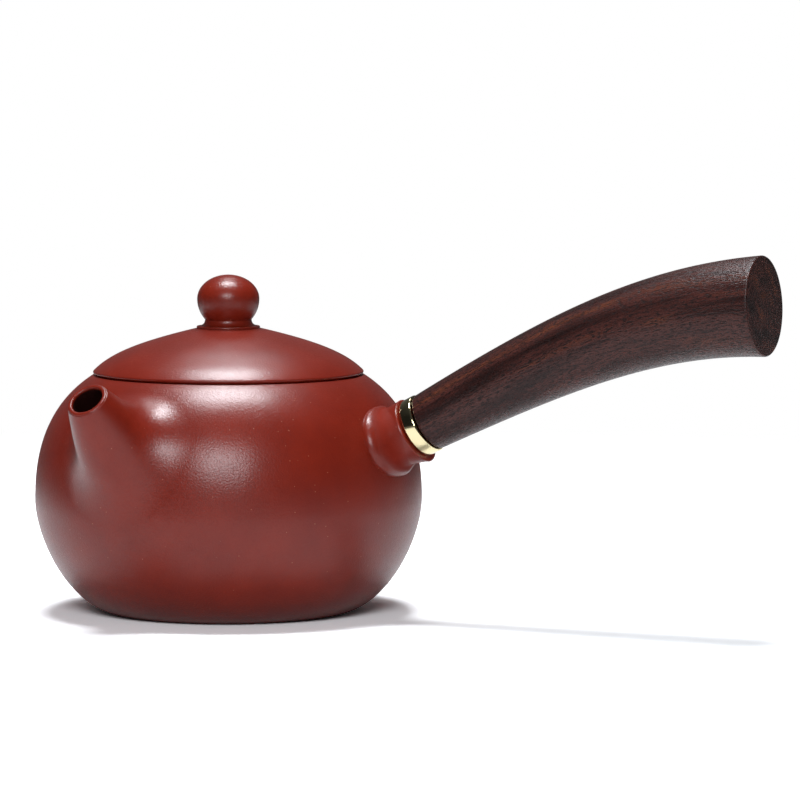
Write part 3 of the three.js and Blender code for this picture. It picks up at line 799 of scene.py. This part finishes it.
class TEAPOT_OT_bowl(Operator):
    """Turns the bowl and the flat ring that the lid sits on"""

    bl_idname = "teapot.bowl"
    bl_label = "Bowl and seat"

    def execute(self, context):
        pot = context.scene.teapot_pot
        lip = pot.shoulder_radius - pot.lip_width
        bore = pot.shoulder_radius - pot.seat_width
        seat = pot.mouth_height - pot.seat_height
        bowl = bowl_with_port(pot, context.scene.teapot_spout, lip, seat)
        finish_piece(bowl, burnished_red_clay, "pot", "pot_body")
        section = band(bore, lip, seat, pot.mouth_height)
        ring = turned("mouth_seat", section, BOWL_SIDES, closed=True)
        round_edges(ring, pot.edge)
        finish_piece(ring, burnished_red_clay, "pot", "mouth_ring")
        return {"FINISHED"}


def smoother(share):
    """Eases from 0 to 1 so that slope and curvature are nought at both ends."""
    return share**3 * (share * (6 * share - 15) + 10)


def round_branch(size, turn, far_lean=1):
    """A size that differs above, beside and below a branch, by the angle round it."""
    above, beside, below = size
    share = math.sin(turn) ** 2
    if math.sin(turn) > 0:
        share **= far_lean
    return lerp(below if math.cos(turn) > 0 else above, beside, share)


def branch_line(place, sizes, outline, span, turn):
    """One line down a branch: its flank, the fillet that swings out over the bowl, the
    edge of its skirt, and a tuck into the bowl's wall."""
    rim = round_branch(sizes.rim, turn)
    lower = (sizes.root, sizes.flare, sizes.edge)
    root, flare, edge = (round_branch(size, turn, sizes.far_lean) for size in lower)

    def flank(depth):
        share = min(1, depth / span)
        radius = lerp(rim, root, share) + sizes.swell * math.sin(math.pi * share)
        return circle_point(place, radius, turn, -depth)

    depth = last_true(sizes.reach, lambda d: outside(outline, flank(d)))
    hit = flank(depth)
    outward = (hit - place @ Vector((0, 0, -depth))).normalized()
    blend = sizes.blend * flare / max(sizes.flare) if edge > 0 else sizes.blend
    start = max(sizes.rounding, depth - blend)
    line = [flank(lerp(sizes.rounding, start, i / FLANK_RINGS)) for i in range(FLANK_RINGS)]
    if edge > 0:
        # A foot is a flat roll round the branch, with a fillet above it that is higher where
        # the roll is wider.
        foot, normal = on_bowl(outline, hit)
        onward = (outward - normal * outward.dot(normal)).normalized()
        crest = foot + onward * math.sin(CREST) * flare + normal * math.cos(CREST) * edge
        fall = onward * math.cos(CREST) * flare - normal * math.sin(CREST) * edge
        back = crest - fall * FILLET_LOW
        line += bezier(flank(start), flank(lerp(start, depth, FILLET_HIGH)), back, crest, BLEND_RINGS)
        for i in range(1, EDGE_RINGS + 1):
            roll = lerp(CREST, math.pi / 2, i / EDGE_RINGS)
            line.append(foot + onward * math.sin(roll) * flare + normal * math.cos(roll) * edge)
    else:
        foot, normal = on_bowl(outline, hit + outward * flare)
        onward = (outward - normal * outward.dot(normal)).normalized()
        for i in range(BLEND_RINGS + 1):
            share = i / BLEND_RINGS
            laid = on_bowl(outline, hit + outward * flare * share)[0]
            line.append(flank(lerp(start, depth, share)).lerp(laid, smoother(share)))
        line.append(on_bowl(outline, foot + onward * TUCK, -SINK)[0])
    line.append(line[-1] - normal * TUCK)
    return line


def branch(name, sizes, pot, darkened_rings):
    """A hollow branch that grows out of the bowl, from its rim down to its skirt. Its first
    rings from the bore outwards carry painted shade, and glue too in the socket; the fillet above a foot is
    dull."""
    outline = bowl_outline(pot)
    place = leaning(sizes)
    span = last_true(sizes.reach, lambda d: outside(outline, place @ Vector((0, 0, -d))))
    turns = [FULL_TURN * i / BRANCH_SIDES for i in range(BRANCH_SIDES)]
    lines = [branch_line(place, sizes, outline, span, turn) for turn in turns]
    skirt = [list(ring) for ring in zip(*lines)]
    buried = []
    for turn in turns:
        line = [circle_point(place, sizes.root_bore_radius, turn, -d) for d in (0, span)]
        steps = last_true(SEARCH, lambda s: outside(outline, line[0].lerp(line[1], s)))
        meeting = line[0].lerp(line[1], steps)
        buried.append(on_bowl(outline, meeting, -TUCK)[0])
    bore = [sizes.bore_radius for _ in turns]
    rim = [round_branch(sizes.rim, turn) for turn in turns]
    half = min(sizes.rounding, (min(rim) - sizes.bore_radius) / 2)
    rounded = [ring_at(place, bore, -BORE_EDGE * sizes.rounding, turns)]
    for inward, down in quarter(range(EDGE_RINGS + 1)):
        radii = [radius + half * inward for radius in bore]
        rounded.append(ring_at(place, radii, -half * down, turns))
    radii = [(a + b) / 2 for a, b in zip(bore, rim)]
    rounded.append(ring_at(place, radii, 0, turns))
    for down, inward in quarter(range(EDGE_RINGS)):
        radii = [radius - half * inward for radius in rim]
        rounded.append(ring_at(place, radii, -half * down, turns))
    shell = lofted(name, [buried, *rounded, *skirt], looped=True)
    # Painted shade, and glue in the socket, on the rings from the bore outwards.
    shade_and_glue = shell.data.attributes.new("shade_and_glue", "FLOAT", "POINT")
    for i in range(darkened_rings * len(turns)):
        shade_and_glue.data[i].value = 1
    dull = shell.data.attributes.new("dull", "FLOAT", "POINT")
    fillet = (1 + len(rounded) + FLANK_RINGS) * len(turns)
    if max(sizes.edge) > 0:
        for i in range(BLEND_RINGS * len(turns)):
            share = i / len(turns) / BLEND_RINGS
            dull.data[fillet + i].value = math.sin(math.pi * share) ** DULL_POWER
    return shell


class TEAPOT_OT_spout(Operator):
    """Grows the short spout out of the bowl's side"""

    bl_idname = "teapot.spout"
    bl_label = "Spout"

    def execute(self, context):
        scene = context.scene
        # The bore's first rings get painted shade, nearly black.
        spout = branch("blended_spout", scene.teapot_spout, scene.teapot_pot, BORE_RINGS)
        finish_piece(spout, burnished_red_clay, "pot", "spout")
        return {"FINISHED"}


class TEAPOT_OT_socket(Operator):
    """Grows the clay socket that takes the wooden grip"""

    bl_idname = "teapot.socket"
    bl_label = "Handle socket"

    def execute(self, context):
        scene = context.scene
        # Glue darkens the bore's rounded edge; painted shade runs on over half the rim, where the ferrule
        # shades it.
        glued_and_shaded = BORE_RINGS + EDGE_RINGS + 1
        socket = branch("grip_socket", scene.teapot_handle, scene.teapot_pot, glued_and_shaded)
        finish_piece(socket, half_burnished_red_clay, "pot", "handle_socket")
        return {"FINISHED"}


class TEAPOT_OT_strainer(Operator):
    """Makes the pierced ball strainer inside the spout's root"""

    bl_idname = "teapot.strainer"
    bl_label = "Ball strainer"

    def execute(self, context):
        scene = context.scene
        sizes = scene.teapot_spout
        inner = bowl_outline(scene.teapot_pot, scene.teapot_pot.wall, scene.teapot_pot.floor)
        place = leaning(sizes)
        depth = last_true(sizes.reach, lambda d: outside(inner, place @ Vector((0, 0, -d))))
        centre = place @ Vector((0, 0, -depth))
        normal = on_bowl(inner, centre)[1]
        start_fresh()
        bpy.ops.mesh.primitive_ico_sphere_add(subdivisions=BALL_SPLITS, radius=sizes.ball_radius)
        ball = context.object
        ball.name = "ball_strainer"
        edit(ball)
        # Each crossing of the ball's net becomes a small face. Those well above the rim are
        # taken out, which leaves the holes.
        net = bmesh.from_edit_mesh(ball.data)
        crossings = [vert.co.copy() for vert in net.verts]
        bpy.ops.mesh.bevel(offset=sizes.ball_hole, affect="VERTICES")
        bpy.ops.mesh.select_all(action="DESELECT")
        bpy.ops.mesh.select_mode(type="FACE")
        net = bmesh.from_edit_mesh(ball.data)
        for face in net.faces:
            middle = face.calc_center_median()
            away = min((middle - crossing).length for crossing in crossings)
            open_here = middle.z > HOLE_CLEAR * sizes.ball_hole
            face.select_set(away < sizes.ball_hole / 2 and open_here)
        bmesh.update_edit_mesh(ball.data)
        bpy.ops.mesh.delete(type="FACE")
        bpy.ops.mesh.select_mode(type="VERT")
        bpy.ops.mesh.select_all(action="SELECT")
        bpy.ops.mesh.bisect(plane_co=(0, 0, 0), plane_no=(0, 0, 1), clear_inner=True)
        bpy.ops.object.mode_set(mode="OBJECT")
        apply_modifier(ball, "SOLIDIFY", thickness=sizes.ball_wall)
        apply_modifier(ball, "SUBSURF", levels=BALL_LEVELS, render_levels=BALL_LEVELS)
        inward = normal.to_track_quat("-Z", "Y").to_matrix().to_4x4()
        settle(ball, Matrix.Translation(centre) @ inward)
        finish_piece(ball, matt_red_clay, "pot", "strainer")
        return {"FINISHED"}


class TEAPOT_OT_ferrule(Operator):
    """Turns the brass ring between the socket and the grip"""

    bl_idname = "teapot.ferrule"
    bl_label = "Ferrule"

    def execute(self, context):
        sizes = context.scene.teapot_handle
        section = band(sizes.bore_radius, sizes.ferrule_radius, 0, sizes.ferrule_length)
        ring = turned("brass_ferrule", section, KNOB_SIDES, closed=True)
        round_edges(ring, sizes.ferrule_edge, FERRULE_SEGMENTS)
        settle(ring, leaning(sizes) @ Matrix.Translation((0, 0, sizes.gap)))
        finish_piece(ring, polished_brass_ring, "pot", "ferrule")
        return {"FINISHED"}


def measured_line(sizes):
    """The grip's middle line from the ferrule to the butt, each point with how far along
    it lies."""
    place = leaning(sizes)
    shoulder = 2 * sizes.gap + sizes.ferrule_length
    neck, pulled = (place @ Vector((0, 0, z)) for z in (shoulder, shoulder + sizes.neck_pull))
    butt = Vector((sizes.butt_reach, 0, sizes.butt_height))
    back = Vector((math.cos(sizes.butt_rise), 0, math.sin(sizes.butt_rise))) * sizes.butt_pull
    points = bezier(neck, pulled, butt - back, butt, LINE_POINTS)
    travelled = [0.0]
    for a, b in zip(points, points[1:]):
        travelled.append(travelled[-1] + (b - a).length)
    return points, travelled


def along_line(points, travelled, share):
    """The point and the direction of a measured line at a share of its length."""
    goal = share * travelled[-1]
    last = len(points) - 2
    i = next((k for k in range(last) if travelled[k + 1] >= goal), last)
    part = (goal - travelled[i]) / (travelled[i + 1] - travelled[i])
    before, after = points[max(0, i - 1)], points[min(last + 1, i + 2)]
    direction = (points[i + 1] - before) * (1 - part) + (after - points[i]) * part
    return points[i].lerp(points[i + 1], part), direction.normalized()


def grip_section(middle, direction, radius):
    """A round section square to the grip's middle line."""
    side = Vector((0, 1, 0))
    up = side.cross(direction) * -1
    ring = []
    for i in range(GRIP_SIDES):
        turn = FULL_TURN * i / GRIP_SIDES
        ring.append(middle + (side * math.cos(turn) + up * math.sin(turn)) * radius)
    return ring


class TEAPOT_OT_grip(Operator):
    """Carves the curved wooden grip with its tenon"""

    bl_idname = "teapot.grip"
    bl_label = "Wooden grip"

    def execute(self, context):
        sizes = context.scene.teapot_handle
        points, travelled = measured_line(sizes)
        total = travelled[-1]
        place = leaning(sizes)
        axis = along_line(points, travelled, 0)[1]
        shoulder = 2 * sizes.gap + sizes.ferrule_length
        # Each section is given by its middle, direction, radius and distance along.
        sections = []
        for z, radius in (
            (-sizes.tenon_depth, sizes.tenon_radius - sizes.tenon_chamfer),
            (sizes.tenon_chamfer - sizes.tenon_depth, sizes.tenon_radius),
            (shoulder, sizes.tenon_radius),
        ):
            sections.append((place @ Vector((0, 0, z)), axis, radius, z - shoulder))
        # A spot is a share of the line's length, and the grip's radius there.
        edge = sizes.grip_edge
        neck, butt = sizes.neck_radius, sizes.butt_radius
        spots = [(edge * on / total, neck - edge * inward) for on, inward in quarter(range(EDGE_RINGS))]
        for i in range(GRIP_RINGS + 1):
            share = lerp(edge / total, 1 - edge / total, i / GRIP_RINGS)
            spots.append((share, lerp(neck, butt, share**SWELL_POWER)))
        widest = spots[-1][1]
        for inward, left in quarter(range(1, EDGE_RINGS + 1)):
            spots.append((1 - edge * left / total, widest - edge * inward))
        for share, radius in spots:
            sections.append((*along_line(points, travelled, share), radius, share * total))
        rings = [grip_section(*section[:3]) for section in sections]
        grip = lofted("wooden_grip", rings, looped=False)
        # The grain is laid straight along the grip's own bent length.
        grain = grip.data.attributes.new("grain", "FLOAT_VECTOR", "POINT")
        for i, vertex in enumerate(grip.data.vertices):
            middle, direction, radius, distance = sections[i // GRIP_SIDES]
            turn = FULL_TURN * (i % GRIP_SIDES) / GRIP_SIDES
            grain.data[i].vector = (distance, radius * math.cos(turn), radius * math.sin(turn))
        finish_piece(grip, oiled_dark_hardwood, "pot", "handle_grip")
        return {"FINISHED"}


def dome_outline(lid, pot):
    """Radius and height of the lid's top from its rim to the collar."""
    rim = pot.mouth_height + lid.bevel_height + lid.rim_height
    top = rim + lid.dome_height
    return bezier(
        (lid.radius, rim),
        (lid.radius * (1 - DOME_EDGE_SWEEP), lerp(rim, top, DOME_EDGE_RISE)),
        (lerp(lid.collar_radius, lid.radius, DOME_TOP_SWEEP), lerp(top, rim, DOME_TOP_DROP)),
        (lid.collar_radius, top),
    )


class TEAPOT_OT_lid(Operator):
    """Turns the domed lid with its steam vent, and the flange under it"""

    bl_idname = "teapot.lid"
    bl_label = "Lid and flange"

    def execute(self, context):
        scene = context.scene
        pot, lid = scene.teapot_pot, scene.teapot_lid
        seat = pot.mouth_height
        outer = pot.shoulder_radius - pot.seat_width - lid.flange_clearance
        bore = outer - lid.flange_thickness
        dome = dome_outline(lid, pot)
        top = dome[-1].y
        under = top - lid.thickness
        hollow = rounded_corner(Vector((0, under)), Vector((bore, under)), Vector((bore, seat)))
        outline = [
            *hollow,
            (lid.radius - lid.bevel_width, seat),
            (lid.radius, seat + lid.bevel_height),
            *dome,
            (0, top),
        ]
        cover = turned("lid_dome", outline, LID_SIDES)
        round_edges(cover, lid.edge)
        out = lid.collar_radius + lid.vent_gap + lid.vent_radius
        turn = Matrix.Rotation(lid.vent_azimuth, 4, "Z")
        cut(cover, drill(lid.vent_radius, top - seat, turn @ Matrix.Translation((out, 0, top))))
        finish_piece(cover, burnished_red_clay, "lid", "lid_plate")
        bottom = seat - lid.flange_depth
        corners = [
            (bore, bottom),
            (outer - lid.flange_chamfer, bottom),
            (outer, bottom + lid.flange_chamfer),
            (outer, seat),
            (bore, seat),
        ]
        flange = turned("lid_skirt", corners, LID_SIDES, closed=True)
        round_edges(flange, lid.edge)
        finish_piece(flange, matt_red_clay, "lid", "lid_flange")
        return {"FINISHED"}


class TEAPOT_OT_knob(Operator):
    """Turns the collar and the ball knob on the lid"""

    bl_idname = "teapot.knob"
    bl_label = "Knob"

    def execute(self, context):
        scene = context.scene
        pot, lid = scene.teapot_pot, scene.teapot_lid
        base = dome_outline(lid, pot)[-1].y
        neck = Vector((lid.neck_radius, base + lid.collar_height))
        edge = Vector((lid.collar_radius, base + lid.collar_edge))
        sweep = rounded_corner(edge, Vector((neck.x, edge.y)), neck, COLLAR_POINTS)
        outline = [(0, base), (lid.collar_radius, base), *sweep, (0, neck.y)]
        collar = turned("knob_foot", outline, KNOB_SIDES)
        round_edges(collar, lid.edge)
        finish_piece(collar, burnished_red_clay, "lid", "knob_collar")
        low = math.acos(lid.neck_radius / lid.knob_radius)
        widest = neck.y + lid.knob_radius * math.sin(low)
        ball = [(0, neck.y)]
        for i in range(CURVE_POINTS + 1):
            turn = lerp(-low, math.pi / 2, i / CURVE_POINTS)
            height = lid.knob_radius if turn < 0 else lid.knob_crown
            ball.append((lid.knob_radius * math.cos(turn), widest + height * math.sin(turn)))
        ball[-1] = (0, widest + lid.knob_crown)
        knob = turned("ball_knob", ball, KNOB_SIDES)
        finish_piece(knob, burnished_red_clay, "lid", "lid_knob")
        return {"FINISHED"}


OPERATORS = (
    TEAPOT_OT_stage,
    TEAPOT_OT_bowl,
    TEAPOT_OT_spout,
    TEAPOT_OT_strainer,
    TEAPOT_OT_socket,
    TEAPOT_OT_ferrule,
    TEAPOT_OT_grip,
    TEAPOT_OT_lid,
    TEAPOT_OT_knob,
)

SETTINGS = {
    "teapot_pot": PotSizes,
    "teapot_spout": SpoutSizes,
    "teapot_handle": HandleSizes,
    "teapot_lid": LidSizes,
    "teapot_finishes": Finishes,
    "teapot_studio": Studio,
}


class TEAPOT_PT_panel(Panel):
    """Lists the teapot's pieces and the sizes behind them"""

    bl_idname = "TEAPOT_PT_panel"
    bl_label = "Clay teapot"
    bl_space_type = "VIEW_3D"
    bl_region_type = "UI"
    bl_category = "Teapot"

    def draw(self, context):
        for operator in OPERATORS:
            self.layout.operator(operator.bl_idname)
        for key, group in SETTINGS.items():
            box = self.layout.box()
            for name in group.__annotations__:
                box.prop(getattr(context.scene, key), name)


CLASSES = (*SETTINGS.values(), *OPERATORS, TEAPOT_PT_panel)


def register():
    """Registers the sizes, the operators and the panel."""
    for cls in CLASSES:
        bpy.utils.register_class(cls)
    for key, group in SETTINGS.items():
        setattr(bpy.types.Scene, key, PointerProperty(type=group))


def unregister():
    """Takes the panel, the operators and the sizes away again."""
    for key in SETTINGS:
        delattr(bpy.types.Scene, key)
    for cls in reversed(CLASSES):
        bpy.utils.unregister_class(cls)


def main():
    """Builds the teapot and its studio."""
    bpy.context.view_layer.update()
    register()
    bpy.ops.teapot.stage()
    bpy.ops.teapot.bowl()
    bpy.ops.teapot.spout()
    bpy.ops.teapot.strainer()
    bpy.ops.teapot.socket()
    bpy.ops.teapot.ferrule()
    bpy.ops.teapot.grip()
    bpy.ops.teapot.lid()
    bpy.ops.teapot.knob()
    start_fresh()
    bpy.context.view_layer.update()


if __name__ == "__main__":
    main()
